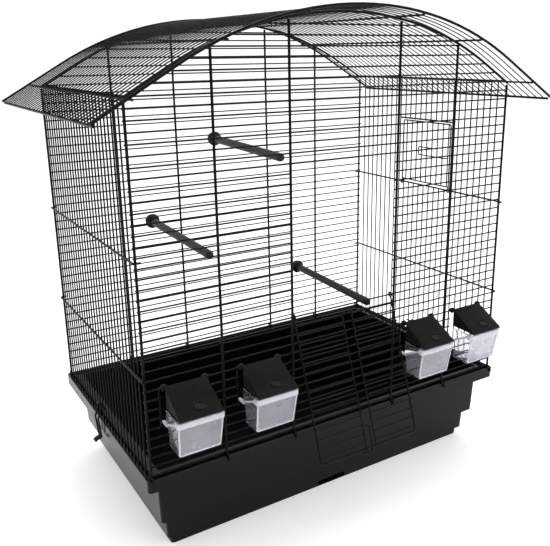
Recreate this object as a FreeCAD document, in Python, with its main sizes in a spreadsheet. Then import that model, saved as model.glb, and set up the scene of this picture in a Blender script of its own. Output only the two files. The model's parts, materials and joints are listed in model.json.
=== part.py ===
import FreeCAD, Part
import math
import os

import Sketcher
from FreeCAD import Placement, Rotation, Vector

# Bird cage: a black wire cabin under an arched wire roof, on a deep moulded tray.
# Frame: +X to the right, +Z up, the front faces -Y. The origin is the centre of the
# flat underside of the tray. Lengths are millimetres, angles are degrees.

doc = FreeCAD.newDocument("bird_cage")
dims = doc.addObject("Spreadsheet::Sheet", "dims")

DIMENSIONS = [
    # wire cabin
    ("cage_width", 510.0, "between the corner posts, centre to centre"),
    ("cage_depth", 312.0, "between the front and back posts, centre to centre"),
    ("bar_count", 36.0, "bar spaces in the height of a front or back wall"),
    ("bar_pitch", 11.11, "between the horizontal bars"),
    ("side_pitch", 11.3, "between the upright side bars, and between roof bars"),
    ("side_bar_count", 26.0, "upright bars in a side wall"),
    ("post_dia", 3.0, "uprights, arches and frame wires"),
    ("bar_dia", 1.8, "thin bars"),
    ("roof_wire", 1.3, "arched wires of the roof"),
    ("brace_dia", 2.4, "side braces and roof stays"),
    ("weld_gap", 0.03, "between wires that are welded where they cross"),
    ("inner_post", 75.0, "centre line to the posts beside the front door"),
    ("outer_post", 165.0, "centre line to the posts between the feeders"),
    ("low_brace", 114.0, "lower brace above the bottom frame"),
    ("high_brace", 241.0, "upper brace above the bottom frame"),
    # roof
    ("roof_radius", 430.0, "radius of the arched middle"),
    ("roof_half_arc", 216.0, "half width of the arched middle"),
    ("eave_reach", 297.0, "centre line to the end of the straight eaves"),
    ("roof_crown", 597.5, "top of the arch above the tray's underside"),
    ("roof_overhang", 36.0, "roof in front of the front wall"),
    ("outer_stay", 260.0, "centre line to the roof stays just outside the side walls"),
    # tray
    ("tray_height", 111.2, "underside to rim"),
    ("tray_wall", 2.5, "thickness of the moulding"),
    ("rim_margin_x", 5.5, "rim outside the wires at the ends"),
    ("rim_margin_y", 4.5, "rim outside the wires at the front and back"),
    ("rim_skirt", 14.0, "height of the rim's turned-down edge"),
    ("rim_corner", 5.0, "corner radius of the rim"),
    ("tier_corner", 4.5, "corner radius of the tray's walls"),
    ("tier_low", 12.0, "top of the lowest tier"),
    ("tier_mid", 42.0, "top of the middle tier"),
    ("foot_inset", 28.0, "wires to the lowest tier's foot"),
    ("low_inset", 27.0, "wires to the lowest tier's top"),
    ("mid_inset", 22.5, "wires to the middle tier's foot"),
    ("mid_top_inset", 21.0, "wires to the middle tier's top"),
    ("high_inset", 13.0, "wires to the upper tier's foot"),
    ("high_top_inset", 10.0, "wires to the upper tier's top"),
    ("notch_width", 42.0, "finger notch in the tray's foot"),
    ("notch_depth", 8.0, "finger notch behind the lowest tier's face"),
    ("rim_gap", 0.3, "rim to the wires that stand on it"),
    # front door
    ("door_sill_bar", 13.0, "bar that the front door hangs on"),
    ("door_head_bar", 29.0, "bar over the front door"),
    ("door_wire", 2.2, "frame wire of the front door"),
    ("door_width", 143.0, "between the door's side wires"),
    ("door_rise", 174.0, "hinge to the free edge"),
    ("door_pair", 14.0, "between the door's two middle wires"),
    ("door_open", 161.0, "angle from closed, as it stands"),
    ("eye_gap", 0.4, "hinge eye to the wire inside it"),
    # nest door in the right wall
    ("nest_first", 7.0, "side bar at the front of the nest door"),
    ("nest_last", 17.0, "side bar at the back of the nest door"),
    ("nest_rise", 99.0, "brace to the top of the nest opening"),
    ("nest_wire", 2.0, "frame wire of the nest door"),
    # feeders
    ("feeder_gap_width", 55.0, "opening behind a feeder"),
    ("feeder_low_bar", 5.0, "bar under a feeder's opening"),
    ("feeder_top_bar", 9.0, "bar that a hood hangs on"),
    ("hood_width", 51.0, "hood across its cheeks"),
    ("hood_length", 48.0, "hinge line to the front edge"),
    ("hood_plate", 2.0, "thickness of the hood"),
    ("hood_slope", 30.0, "fall of the hood"),
    ("cheek_drop", 21.5, "hinge line to the level edge of the hood's cheeks"),
    ("knuckle_radius", 3.6, "hinge knuckle of the hood"),
    ("knuckle_width", 5.0, "length of one knuckle"),
    ("lip_drop", 24.0, "hinge line to the lip of the cup"),
    ("lip_width", 55.0, "cup across its lip"),
    ("lip_depth", 36.0, "cup from back to front across its lip"),
    ("lip_band", 6.5, "height of the lip's band"),
    ("cup_width", 52.0, "cup's mouth from side to side"),
    ("cup_depth", 34.5, "cup's mouth from back to front"),
    ("cup_height", 43.5, "bottom to lip"),
    ("foot_width", 47.5, "cup's bottom from side to side"),
    ("foot_depth", 27.0, "cup's bottom from back to front"),
    ("back_drop", 15.5, "lip to the top of the cup's back wall"),
    ("cup_wall", 1.6, "thickness of the cup"),
    # perches
    ("perch_dia", 11.0, "perch"),
    ("perch_length", 190.0, "perch beyond its head"),
    ("perch_head_dia", 21.0, "disc against the back wall"),
    ("perch_head", 4.0, "thickness of the disc"),
    ("perch_screw", 4.0, "screw through the wall"),
    ("perch_droop", 1.8, "how far a perch hangs below level"),
    # tray clips
    ("clip_wire", 2.2, "spring wire of the bail"),
    ("clip_rise", 15.0, "pivot above the rim"),
    ("clip_drop", 24.0, "rim to the foot of the bail"),
    ("tongue_width", 8.0, "tongue at the foot of a clip"),
    ("clip_bar", 13.0, "side bar between the legs of a clip"),
]

for row, (alias, value, note) in enumerate(DIMENSIONS, start=1):
    dims.set(f"A{row}", note)
    dims.set(f"B{row}", str(value))
    dims.setAlias(f"B{row}", alias)
doc.recompute()


def size(alias):
    """The value of one driving dimension."""
    return float(dims.get(alias))


# ---------------------------------------------------------------- derived places

HALF_WIDTH = size("cage_width") / 2
HALF_DEPTH = size("cage_depth") / 2
POST_RADIUS = size("post_dia") / 2
BAR_RADIUS = size("bar_dia") / 2
ROOF_RADIUS = size("roof_wire") / 2
BRACE_RADIUS = size("brace_dia") / 2
GAP = size("weld_gap")

BASE_Z = size("tray_height") + size("rim_gap") + POST_RADIUS
BAR_COUNT = int(size("bar_count"))
WALL_TOP = BASE_Z + BAR_COUNT * size("bar_pitch")

# The horizontal bars lie just inside the posts.
BAR_Y = HALF_DEPTH - POST_RADIUS - BAR_RADIUS - GAP
FRAME_Y = HALF_DEPTH - 2 * POST_RADIUS - GAP
BRACE_X = HALF_WIDTH + POST_RADIUS + BRACE_RADIUS + GAP
SIDE_X = BRACE_X - BRACE_RADIUS - BAR_RADIUS - GAP
SIDE_FRAME_X = SIDE_X - BAR_RADIUS - POST_RADIUS - GAP
POSTS = [sign * size(name) for name in ("inner_post", "outer_post") for sign in (-1, 1)]
POSTS += [-HALF_WIDTH, HALF_WIDTH]
POSTS.sort()


def bar_z(index):
    """Height of a horizontal bar of the front or back wall."""
    return BASE_Z + index * size("bar_pitch")


def side_y(index):
    """Place of an upright bar of a side wall, from front to back."""
    return (index - (size("side_bar_count") - 1) / 2) * size("side_pitch")


CLIP_Y = side_y(size("clip_bar"))


# ---------------------------------------------------------------- wire helpers

def rod(start, end, diameter_alias):
    """One straight wire from start to end, as a cylinder bound to its diameter."""
    wire = doc.addObject("Part::Cylinder", "wire")
    wire.setExpression("Radius", f"dims.{diameter_alias} / 2")
    run = end - start
    wire.Height = run.Length
    wire.Placement = Placement(start, Rotation(Vector(0, 0, 1), run))
    return wire


def group(label, pieces):
    """One sub-part made of separate solids that belong together."""
    compound = doc.addObject("Part::Compound", label)
    compound.Label = label
    compound.Links = pieces
    return compound


def feature(label, shape):
    """A sub-part whose shape is bent wire, which no primitive makes."""
    part = doc.addObject("Part::Feature", label)
    part.Label = label
    part.Shape = shape
    part.Placement = Placement()
    return part


def swept(edges, diameter):
    """Round wire along a smooth chain of edges."""
    path = Part.Wire(edges)
    start = path.Edges[0]
    origin = start.valueAt(start.FirstParameter)
    tangent = start.tangentAt(start.FirstParameter)
    profile = Part.Wire(Part.makeCircle(diameter / 2, origin, tangent))
    return path.makePipeShell([profile], True, True)


def bent_wire(points, radius, diameter):
    """Round wire through corner points, each corner rounded to the bend radius."""
    edges = []
    last = points[0]
    for before, corner, after in zip(points, points[1:], points[2:]):
        inward = (before - corner).normalize()
        outward = (after - corner).normalize()
        half = inward.getAngle(outward) / 2
        setback = radius / math.tan(half)
        entry = corner + inward * setback
        leave = corner + outward * setback
        bisector = (inward + outward).normalize()
        middle = corner + bisector * (radius / math.sin(half) - radius)
        if (entry - last).Length > 1e-6:
            edges.append(Part.LineSegment(last, entry).toShape())
        edges.append(Part.Arc(entry, middle, leave).toShape())
        last = leave
    edges.append(Part.LineSegment(last, points[-1]).toShape())
    return swept(edges, diameter)


# ---------------------------------------------------------------- roof line

ROOF_R = size("roof_radius")
ROOF_CENTRE = size("roof_crown") - ROOF_R
EAVE_ANGLE = math.asin(size("roof_half_arc") / ROOF_R)


def roof_point(x, offset):
    """Point on the roof line at x, moved by offset along the roof's outward normal."""
    reach = abs(x)
    side = math.copysign(1.0, x)
    if reach <= size("roof_half_arc"):
        angle = math.asin(reach / ROOF_R)
        along = 0.0
    else:
        angle = EAVE_ANGLE
        along = (reach - size("roof_half_arc")) / math.cos(EAVE_ANGLE)
    out_x = (ROOF_R + offset) * math.sin(angle) + along * math.cos(angle)
    out_z = ROOF_CENTRE + (ROOF_R + offset) * math.cos(angle) - along * math.sin(angle)
    return Vector(side * out_x, 0, out_z)


def roof_height(x, offset):
    """Height at x of the roof line that is moved by offset along its normal."""
    radius = ROOF_R + offset
    turn = radius * math.sin(EAVE_ANGLE)
    if abs(x) <= turn:
        return ROOF_CENTRE + math.sqrt(radius ** 2 - x ** 2)
    return ROOF_CENTRE + radius * math.cos(EAVE_ANGLE) - (abs(x) - turn) * math.tan(EAVE_ANGLE)


def roof_reach(z, offset):
    """Half width of the roof line, moved by offset, at height z."""
    radius = ROOF_R + offset
    turn_z = ROOF_CENTRE + radius * math.cos(EAVE_ANGLE)
    if z >= turn_z:
        return math.sqrt(max(radius ** 2 - (z - ROOF_CENTRE) ** 2, 0.0))
    return radius * math.sin(EAVE_ANGLE) + (turn_z - z) / math.tan(EAVE_ANGLE)


def arched_wire(y, offset, reach, diameter):
    """Wire across the cage that follows the roof line out to reach on both sides."""
    turn = size("roof_half_arc")
    at = [roof_point(x, offset) + Vector(0, y, 0) for x in (-reach, -turn, 0.0, turn, reach)]
    edges = [
        Part.LineSegment(at[0], at[1]).toShape(),
        Part.Arc(at[1], at[2], at[3]).toShape(),
        Part.LineSegment(at[3], at[4]).toShape(),
    ]
    return swept(edges, diameter)


STAY_OFFSET = -(ROOF_RADIUS + BRACE_RADIUS + GAP)
EDGE_OFFSET = STAY_OFFSET + BRACE_RADIUS + POST_RADIUS + GAP
ARCH_OFFSET = STAY_OFFSET - BRACE_RADIUS - POST_RADIUS - GAP
ROOF_Y = HALF_DEPTH + size("roof_overhang")


# ---------------------------------------------------------------- moulded pieces

def new_body(label):
    """An empty body that becomes one sub-part."""
    body = doc.addObject("PartDesign::Body", label)
    body.Label = label
    return body


def origin_plane(body, role):
    """One of the body's own origin planes."""
    return [item for item in body.Origin.OriginFeatures if item.Role == role][0]


def new_sketch(body, role, offset="0", axis="z"):
    """An empty sketch on an origin plane, moved along the plane's normal."""
    sketch = body.newObject("Sketcher::SketchObject", f"{body.Name}_sketch")
    sketch.AttachmentSupport = [(origin_plane(body, role), "")]
    sketch.MapMode = "FlatFace"
    sketch.setExpression(f"AttachmentOffset.Base.{axis}", offset)
    return sketch


def constrain(sketch, expression, *arguments):
    """A dimension of the sketch that follows the sheet."""
    index = sketch.addConstraint(Sketcher.Constraint(*arguments, 1.0))
    sketch.setExpression(f"Constraints[{index}]", expression)


def rectangle(sketch, left, right, bottom, top):
    """A rectangle whose four sides are expressions, measured from the sketch's origin."""
    corners = [Vector(-1, -1, 0), Vector(1, -1, 0), Vector(1, 1, 0), Vector(-1, 1, 0)]
    first = sketch.GeometryCount
    for start, end in zip(corners, corners[1:] + corners[:1]):
        sketch.addGeometry(Part.LineSegment(start, end))
    for side in range(4):
        after = (side + 1) % 4
        sketch.addConstraint(Sketcher.Constraint("Coincident", first + side, 2, first + after, 1))
    for side, kind in enumerate(("Horizontal", "Vertical", "Horizontal", "Vertical")):
        sketch.addConstraint(Sketcher.Constraint(kind, first + side))
    constrain(sketch, left, "DistanceX", -1, 1, first, 1)
    constrain(sketch, right, "DistanceX", -1, 1, first + 1, 1)
    constrain(sketch, bottom, "DistanceY", -1, 1, first, 1)
    constrain(sketch, top, "DistanceY", -1, 1, first + 2, 1)


def rounded_rectangle(sketch, length, width, radius):
    """A rectangle centred on the sketch's origin, with equal rounded corners."""
    half_x, half_y, bend = 20.0, 15.0, 5.0
    turns = [(1, -1, -90), (1, 1, 0), (-1, 1, 90), (-1, -1, 180)]
    arcs = []
    for sign_x, sign_y, start in turns:
        centre = Vector(sign_x * (half_x - bend), sign_y * (half_y - bend), 0)
        circle = Part.Circle(centre, Vector(0, 0, 1), bend)
        arc = Part.ArcOfCircle(circle, math.radians(start), math.radians(start + 90))
        arcs.append(sketch.addGeometry(arc))
    lines = []
    for arc, after in zip(arcs, arcs[1:] + arcs[:1]):
        start = sketch.getPoint(arc, 2)
        end = sketch.getPoint(after, 1)
        line = sketch.addGeometry(Part.LineSegment(start, end))
        sketch.addConstraint(Sketcher.Constraint("Tangent", arc, 2, line, 1))
        sketch.addConstraint(Sketcher.Constraint("Tangent", line, 2, after, 1))
        lines.append(line)
    for line, kind in zip(lines, ("Vertical", "Horizontal", "Vertical", "Horizontal")):
        sketch.addConstraint(Sketcher.Constraint(kind, line))
    for arc in arcs[1:]:
        sketch.addConstraint(Sketcher.Constraint("Equal", arcs[0], arc))
    sketch.addConstraint(Sketcher.Constraint("Symmetric", arcs[0], 3, arcs[2], 3, -1, 1))
    constrain(sketch, radius, "Radius", arcs[0])
    constrain(sketch, f"({length}) - 2 * ({radius})", "DistanceX", arcs[2], 3, arcs[1], 3)
    constrain(sketch, f"({width}) - 2 * ({radius})", "DistanceY", arcs[0], 3, arcs[1], 3)


def closed_outline(sketch, corners):
    """Straight sides through the corners, joined end to end."""
    for start, end in zip(corners, corners[1:] + corners[:1]):
        sketch.addGeometry(Part.LineSegment(Vector(*start, 0), Vector(*end, 0)))
    count = len(corners)
    for side in range(count):
        sketch.addConstraint(Sketcher.Constraint("Coincident", side, 2, (side + 1) % count, 1))


def pad(body, sketch, length, symmetric=False):
    """Sketch padded along its normal, or both ways from its plane."""
    block = body.newObject("PartDesign::Pad", f"{body.Name}_pad")
    block.Profile = sketch
    block.Type = 0
    block.SideType = 2 if symmetric else 0
    block.setExpression("Length", length)
    return block


def loft(body, kind, lower, upper):
    """Straight-sided loft between two sketches, added to or cut from the body."""
    solid = body.newObject(f"PartDesign::{kind}", f"{body.Name}_loft")
    solid.Profile = lower
    solid.Sections = [upper]
    solid.Ruled = True
    return solid


# Each tier of the tray: its foot and its top, as inset from the wires and height.
TIERS = [
    ("foot_inset", "0", "low_inset", "dims.tier_low"),
    ("mid_inset", "dims.tier_low", "mid_top_inset", "dims.tier_mid"),
    ("high_inset", "dims.tier_mid", "high_top_inset", "dims.tray_height"),
]


def tray_outline(body, inset, height, shrink):
    """Outline of the tray at one height, inset from the wires and shrunk by a wall."""
    sketch = new_sketch(body, "XY_Plane", height)
    length = f"dims.cage_width - 2 * dims.{inset} - 2 * ({shrink})"
    width = f"dims.cage_depth - 2 * dims.{inset} - 2 * ({shrink})"
    rounded_rectangle(sketch, length, width, f"dims.tier_corner - ({shrink}) * 0.9")
    return sketch


def make_tray():
    """The base tray: three tiers, a flat floor and a rim with a turned-down skirt."""
    body = new_body("base_tray")
    for foot, foot_z, top, top_z in TIERS:
        lower = tray_outline(body, foot, foot_z, "0")
        upper = tray_outline(body, top, top_z, "0")
        loft(body, "AdditiveLoft", lower, upper)
    rim = new_sketch(body, "XY_Plane", "dims.tray_height - dims.rim_skirt")
    rim_length = "dims.cage_width + 2 * dims.rim_margin_x"
    rim_width = "dims.cage_depth + 2 * dims.rim_margin_y"
    rounded_rectangle(rim, rim_length, rim_width, "dims.rim_corner")
    pad(body, rim, "dims.rim_skirt")
    doc.recompute()
    full = body.Shape.Volume
    wall = "dims.tray_wall"
    for foot, foot_z, top, top_z in TIERS:
        lower = tray_outline(body, foot, f"{foot_z} + {wall}", wall)
        upper = tray_outline(body, top, f"{top_z} + {wall} + 0.05", wall)
        loft(body, "SubtractiveLoft", lower, upper)
    # the hollow behind the skirt, open below
    under = new_sketch(body, "XY_Plane", "dims.tray_height - dims.rim_skirt")
    rounded_rectangle(
        under, f"{rim_length} - 2 * {wall}", f"{rim_width} - 2 * {wall}", "dims.rim_corner - 2"
    )
    rounded_rectangle(
        under,
        "dims.cage_width - 2 * dims.high_top_inset",
        "dims.cage_depth - 2 * dims.high_top_inset",
        "dims.tier_corner",
    )
    groove = body.newObject("PartDesign::Pocket", "skirt_hollow")
    groove.Profile = under
    groove.Type = 0
    groove.Reversed = True
    groove.setExpression("Length", "dims.rim_skirt - dims.tray_wall")
    # finger notch in the foot of the front, with a thicker wall behind it
    front = "dims.cage_depth / 2 - dims.low_inset"
    behind = new_sketch(body, "XY_Plane", "1")
    half_block = "dims.notch_width / 2 + dims.tray_wall"
    depth_block = f"dims.notch_depth + dims.tray_wall - ({front})"
    rectangle(behind, f"-({half_block})", half_block, f"1 - ({front})", depth_block)
    pad(body, behind, "dims.tier_low + dims.tray_wall")
    mouth = new_sketch(body, "XY_Plane", "dims.tier_low")
    half_mouth = "dims.notch_width / 2"
    back_of_mouth = f"dims.notch_depth - ({front})"
    rectangle(mouth, f"-{half_mouth}", half_mouth, f"-2 - ({front})", back_of_mouth)
    notch = body.newObject("PartDesign::Pocket", "finger_notch")
    notch.Profile = mouth
    notch.Type = 0
    notch.setExpression("Length", "dims.tier_low - 1.8")
    doc.recompute()
    print("tray volume, full and hollow:", round(full), round(body.Shape.Volume))


# ---------------------------------------------------------------- wire walls

# centre line to the middle of each feeder, from left to right
FEEDER_X = [-210.0, -118.0, 119.5, 205.0]
FEEDER_HALF = size("feeder_gap_width") / 2
BAR_END = HALF_WIDTH + POST_RADIUS


def bar_spans(index):
    """Where a bar of the front wall runs, left to right, between the openings."""
    ends = [-BAR_END]
    if size("feeder_low_bar") < index < size("feeder_top_bar"):
        for middle in FEEDER_X:
            ends += [middle - FEEDER_HALF, middle + FEEDER_HALF]
    if size("door_sill_bar") < index < size("door_head_bar"):
        inner_edge = size("inner_post") - POST_RADIUS + 0.1
        ends += [-inner_edge, inner_edge]
    ends.append(BAR_END)
    return list(zip(ends[0::2], ends[1::2]))


def wall_bars(label, y, has_openings):
    """Thin level bars of the front or back wall, up into the gable."""
    pieces = []
    for index in range(1, BAR_COUNT + 1):
        spans = bar_spans(index) if has_openings else [(-BAR_END, BAR_END)]
        for start, end in spans:
            height = bar_z(index)
            pieces.append(rod(Vector(start, y, height), Vector(end, y, height), "bar_dia"))
    index = BAR_COUNT + 1
    while bar_z(index) < roof_height(0, ARCH_OFFSET) - size("post_dia"):
        reach = min(roof_reach(bar_z(index), ARCH_OFFSET), BAR_END)
        height = bar_z(index)
        pieces.append(rod(Vector(-reach, y, height), Vector(reach, y, height), "bar_dia"))
        index += 1
    group(label, pieces)


def wall_posts(label, y):
    """Uprights of the front or back wall, each ending under the arch."""
    pieces = []
    for x in POSTS:
        near = min(roof_height(x + side * POST_RADIUS, ARCH_OFFSET) for side in (-1, 1))
        top = near - POST_RADIUS / math.cos(EAVE_ANGLE) - GAP
        foot = BASE_Z - POST_RADIUS
        pieces.append(rod(Vector(x, y, foot), Vector(x, y, top), "post_dia"))
    group(label, pieces)


def make_wall(name, side):
    """Front (side -1) or back (side 1) wall: posts, bars, foot wire and arch."""
    wall_posts(f"{name}_wall_posts", side * HALF_DEPTH)
    wall_bars(f"{name}_wall_bars", side * BAR_Y, side < 0)
    start = Vector(-BAR_END, side * FRAME_Y, BASE_Z)
    end = Vector(BAR_END, side * FRAME_Y, BASE_Z)
    group(f"{name}_foot_wire", [rod(start, end, "post_dia")])
    reach = HALF_WIDTH + 2 * POST_RADIUS
    arch = arched_wire(side * HALF_DEPTH, ARCH_OFFSET, reach, size("post_dia"))
    feature(f"{name}_wall_arch", arch)


def make_feeder_frames():
    """Short uprights on both sides of each feeder's opening."""
    low = bar_z(size("feeder_low_bar")) - BAR_RADIUS
    high = bar_z(size("feeder_top_bar")) + BAR_RADIUS
    y = -BAR_Y + 2 * BAR_RADIUS + GAP
    pieces = []
    for middle in FEEDER_X:
        for side in (-1, 1):
            x = middle + side * (FEEDER_HALF + BAR_RADIUS)
            pieces.append(rod(Vector(x, y, low), Vector(x, y, high), "bar_dia"))
    group("feeder_opening_frames", pieces)


BRACE_LEVELS = [BASE_Z + size("low_brace"), BASE_Z + size("high_brace")]
NEST_SILL = BRACE_LEVELS[1]
NEST_TOP = NEST_SILL + size("nest_rise")
NEST_FRONT = side_y(size("nest_first"))
NEST_BACK = side_y(size("nest_last"))


def make_side(name, side):
    """Left (side -1) or right (side 1) wall: upright bars, frame wires and braces."""
    low = BASE_Z - POST_RADIUS
    high = WALL_TOP + POST_RADIUS
    x = side * SIDE_X
    bars = []
    for index in range(int(size("side_bar_count"))):
        y = side_y(index)
        spans = [(low, high)]
        if side > 0 and size("nest_first") < index < size("nest_last"):
            spans = [(low, NEST_SILL + BRACE_RADIUS), (NEST_TOP - BRACE_RADIUS, high)]
        for start, end in spans:
            bars.append(rod(Vector(x, y, start), Vector(x, y, end), "bar_dia"))
    group(f"{name}_wall_bars", bars)

    frame_x = side * SIDE_FRAME_X
    low_end = FRAME_Y - POST_RADIUS - GAP
    high_end = BAR_Y - BAR_RADIUS - GAP
    frames = [
        rod(Vector(frame_x, -low_end, BASE_Z), Vector(frame_x, low_end, BASE_Z), "post_dia"),
        rod(Vector(frame_x, -high_end, WALL_TOP), Vector(frame_x, high_end, WALL_TOP), "post_dia"),
    ]
    group(f"{name}_frame_wires", frames)

    # each brace hooks round the front and the back corner post
    outer = side * BRACE_X
    hook_y = HALF_DEPTH + POST_RADIUS + BRACE_RADIUS + 0.1
    hook_x = side * (HALF_WIDTH - 3 * POST_RADIUS)
    braces = []
    for height in BRACE_LEVELS:
        points = [
            Vector(hook_x, -hook_y, height),
            Vector(outer, -hook_y, height),
            Vector(outer, hook_y, height),
            Vector(hook_x, hook_y, height),
        ]
        braces.append(bent_wire(points, BRACE_RADIUS + 0.4, size("brace_dia")))
    feature(f"{name}_braces", Part.makeCompound(braces))


def make_roof():
    """Roof panel: arched bars, arched edge wires, stays along the depth and eave wires."""
    spaces = round(ROOF_Y / size("side_pitch"))
    bars = []
    for index in range(1 - spaces, spaces):
        y = index * ROOF_Y / spaces
        bars.append(arched_wire(y, 0.0, size("eave_reach"), size("roof_wire")))
    feature("roof_bars", Part.makeCompound(bars))
    edges = []
    for side in (-1, 1):
        edges.append(arched_wire(side * ROOF_Y, EDGE_OFFSET, size("eave_reach"), size("post_dia")))
    feature("roof_edge_wires", Part.makeCompound(edges))

    end = ROOF_Y + POST_RADIUS
    stays = []
    for x in POSTS[1:-1] + [-size("outer_stay"), size("outer_stay")]:
        at = roof_point(x, STAY_OFFSET)
        stays.append(rod(at + Vector(0, -end, 0), at + Vector(0, end, 0), "brace_dia"))
    group("roof_stays", stays)
    eaves = []
    for side in (-1, 1):
        inner = side * (size("eave_reach") - POST_RADIUS)
        at = roof_point(inner, -(ROOF_RADIUS + POST_RADIUS + GAP))
        clear = ROOF_Y - POST_RADIUS - GAP
        eaves.append(rod(at + Vector(0, -clear, 0), at + Vector(0, clear, 0), "post_dia"))
    group("eave_wires", eaves)


def make_rim_hooks():
    """Small wires at the foot of the front and back posts that hook over the rim."""
    drop = 7.0
    radius = 1.1
    pieces = []
    for x in POSTS:
        for side in (-1, 1):
            near = side * (HALF_DEPTH + POST_RADIUS + GAP)
            far = side * (HALF_DEPTH + size("rim_margin_y") + radius + 0.5)
            points = [
                Vector(x, near, BASE_Z + 0.6),
                Vector(x, far, BASE_Z + 0.6),
                Vector(x, far, BASE_Z - drop),
            ]
            pieces.append(bent_wire(points, radius + 0.3, 2 * radius))
    feature("rim_hooks", Part.makeCompound(pieces))


# ---------------------------------------------------------------- doors

EYE_GAP = size("eye_gap")


def ring(centre, axis, radius, wire_radius):
    """Hinge eye: a closed ring of wire round an axis."""
    return Part.makeTorus(radius, wire_radius, centre, axis)


def hinged(part, pivot, axis, angle):
    """Places a sub-part that is drawn closed, with its hinge line through the origin."""
    part.Placement = Placement(pivot, Rotation(axis, angle))


DOOR_PIVOT = Vector(0, -BAR_Y, bar_z(size("door_sill_bar")))
X_AXIS = Vector(1, 0, 0)
Y_AXIS = Vector(0, 1, 0)


def make_front_door():
    """Front door, hung on its sill bar and folded outwards and down."""
    wire_radius = size("door_wire") / 2
    half = size("door_width") / 2
    rise = size("door_rise")
    eye = BAR_RADIUS + EYE_GAP + wire_radius
    loop = bent_wire(
        [Vector(-half, 0, eye), Vector(-half, 0, rise), Vector(half, 0, rise), Vector(half, 0, eye)],
        4.0,
        size("door_wire"),
    )
    eyes = [ring(Vector(side * half, 0, 0), X_AXIS, eye, wire_radius) for side in (-1, 1)]
    frame = feature("door_frame", loop.fuse(eyes))
    hinged(frame, DOOR_PIVOT, X_AXIS, size("door_open"))

    layer = wire_radius + BAR_RADIUS + GAP
    pair = size("door_pair") / 2
    uprights = []
    for side in (-1, 1):
        start = Vector(side * pair, layer, BAR_RADIUS + 3 * EYE_GAP + 4)
        uprights.append(rod(start, Vector(side * pair, layer, rise + wire_radius), "bar_dia"))
    middle = group("door_middle_wires", uprights)
    hinged(middle, DOOR_PIVOT, X_AXIS, size("door_open"))

    crossbars = []
    count = int(rise // size("bar_pitch"))
    inner = pair + BAR_RADIUS + GAP
    for index in range(1, count + 1):
        w = index * size("bar_pitch")
        for side in (-1, 1):
            start = Vector(side * inner, layer, w)
            crossbars.append(rod(start, Vector(side * (half + wire_radius), layer, w), "bar_dia"))
    bars = group("door_crossbars", crossbars)
    hinged(bars, DOOR_PIVOT, X_AXIS, size("door_open"))

    # spring catch that slides between the two middle wires
    leg = pair - 2.5
    radius = 0.8
    catch_layer = -(wire_radius + radius + 0.4)
    tip = rise + 6
    catch = bent_wire(
        [
            Vector(-leg - 2, catch_layer - 6, tip),
            Vector(-leg, catch_layer, tip),
            Vector(-leg, catch_layer, rise - 26),
            Vector(leg, catch_layer, rise - 26),
            Vector(leg, catch_layer, tip),
            Vector(leg + 2, catch_layer - 6, tip),
        ],
        1.2,
        2 * radius,
    )
    latch = feature("door_latch", catch)
    hinged(latch, DOOR_PIVOT, X_AXIS, size("door_open"))


NEST_MIDDLE = (NEST_FRONT + NEST_BACK) / 2
NEST_PIVOT = Vector(BRACE_X, NEST_MIDDLE, NEST_SILL)


def make_nest_door():
    """Small door for a nest box in the right wall, hung on the upper brace."""
    wire_radius = size("nest_wire") / 2
    half = (NEST_BACK - NEST_FRONT) / 2 - 5.4
    eye = BRACE_RADIUS + EYE_GAP + wire_radius
    top = size("nest_rise") - BRACE_RADIUS - wire_radius - 1.3
    sill = eye + 2.2
    loop = bent_wire(
        [Vector(0, -half, eye), Vector(0, -half, top), Vector(0, half, top), Vector(0, half, eye)],
        3.0,
        size("nest_wire"),
    )
    sill_wire = Part.makeCylinder(wire_radius, 2 * half, Vector(0, -half, sill), Y_AXIS)
    eyes = [ring(Vector(0, side * half, 0), Y_AXIS, eye, wire_radius) for side in (-1, 1)]
    frame = feature("nest_door_frame", loop.fuse([sill_wire] + eyes))
    hinged(frame, NEST_PIVOT, Y_AXIS, 0)

    layer = wire_radius + BAR_RADIUS + GAP
    bars = []
    for index in range(int(size("nest_first")) + 1, int(size("nest_last"))):
        y = side_y(index) - NEST_MIDDLE
        bars.append(rod(Vector(layer, y, sill - 1), Vector(layer, y, top + 1), "bar_dia"))
    hinged(group("nest_door_bars", bars), NEST_PIVOT, Y_AXIS, 0)

    outer = layer + 2 * BAR_RADIUS + GAP
    low, high = 45.0, 57.0
    near, far, turn = -38.0, -16.0, 20.0
    handle = bent_wire(
        [
            Vector(outer + 5, near, low),
            Vector(outer, near, low),
            Vector(outer, turn, low),
            Vector(outer, turn, high),
            Vector(outer, far, high),
            Vector(outer + 5, far, high),
        ],
        2.0,
        size("bar_dia"),
    )
    hinged(feature("nest_door_handle", handle), NEST_PIVOT, Y_AXIS, 0)

    start = Vector(BRACE_X, NEST_FRONT - POST_RADIUS, NEST_TOP)
    end = Vector(BRACE_X, NEST_BACK + POST_RADIUS, NEST_TOP)
    group("nest_opening_wire", [rod(start, end, "brace_dia")])


# ---------------------------------------------------------------- feeders

HOOD_Z = bar_z(size("feeder_top_bar"))
CUP_BACK = -HALF_DEPTH - POST_RADIUS - 1.5
CUP_Z = HOOD_Z - size("lip_drop") - size("cup_height")


def slab(body, outline, offset, thickness):
    """A plate cut to an outline in the YZ plane, centred on offset along X."""
    sketch = new_sketch(body, "YZ_Plane", offset)
    closed_outline(sketch, outline)
    pad(body, sketch, thickness, symmetric=True)


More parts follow.
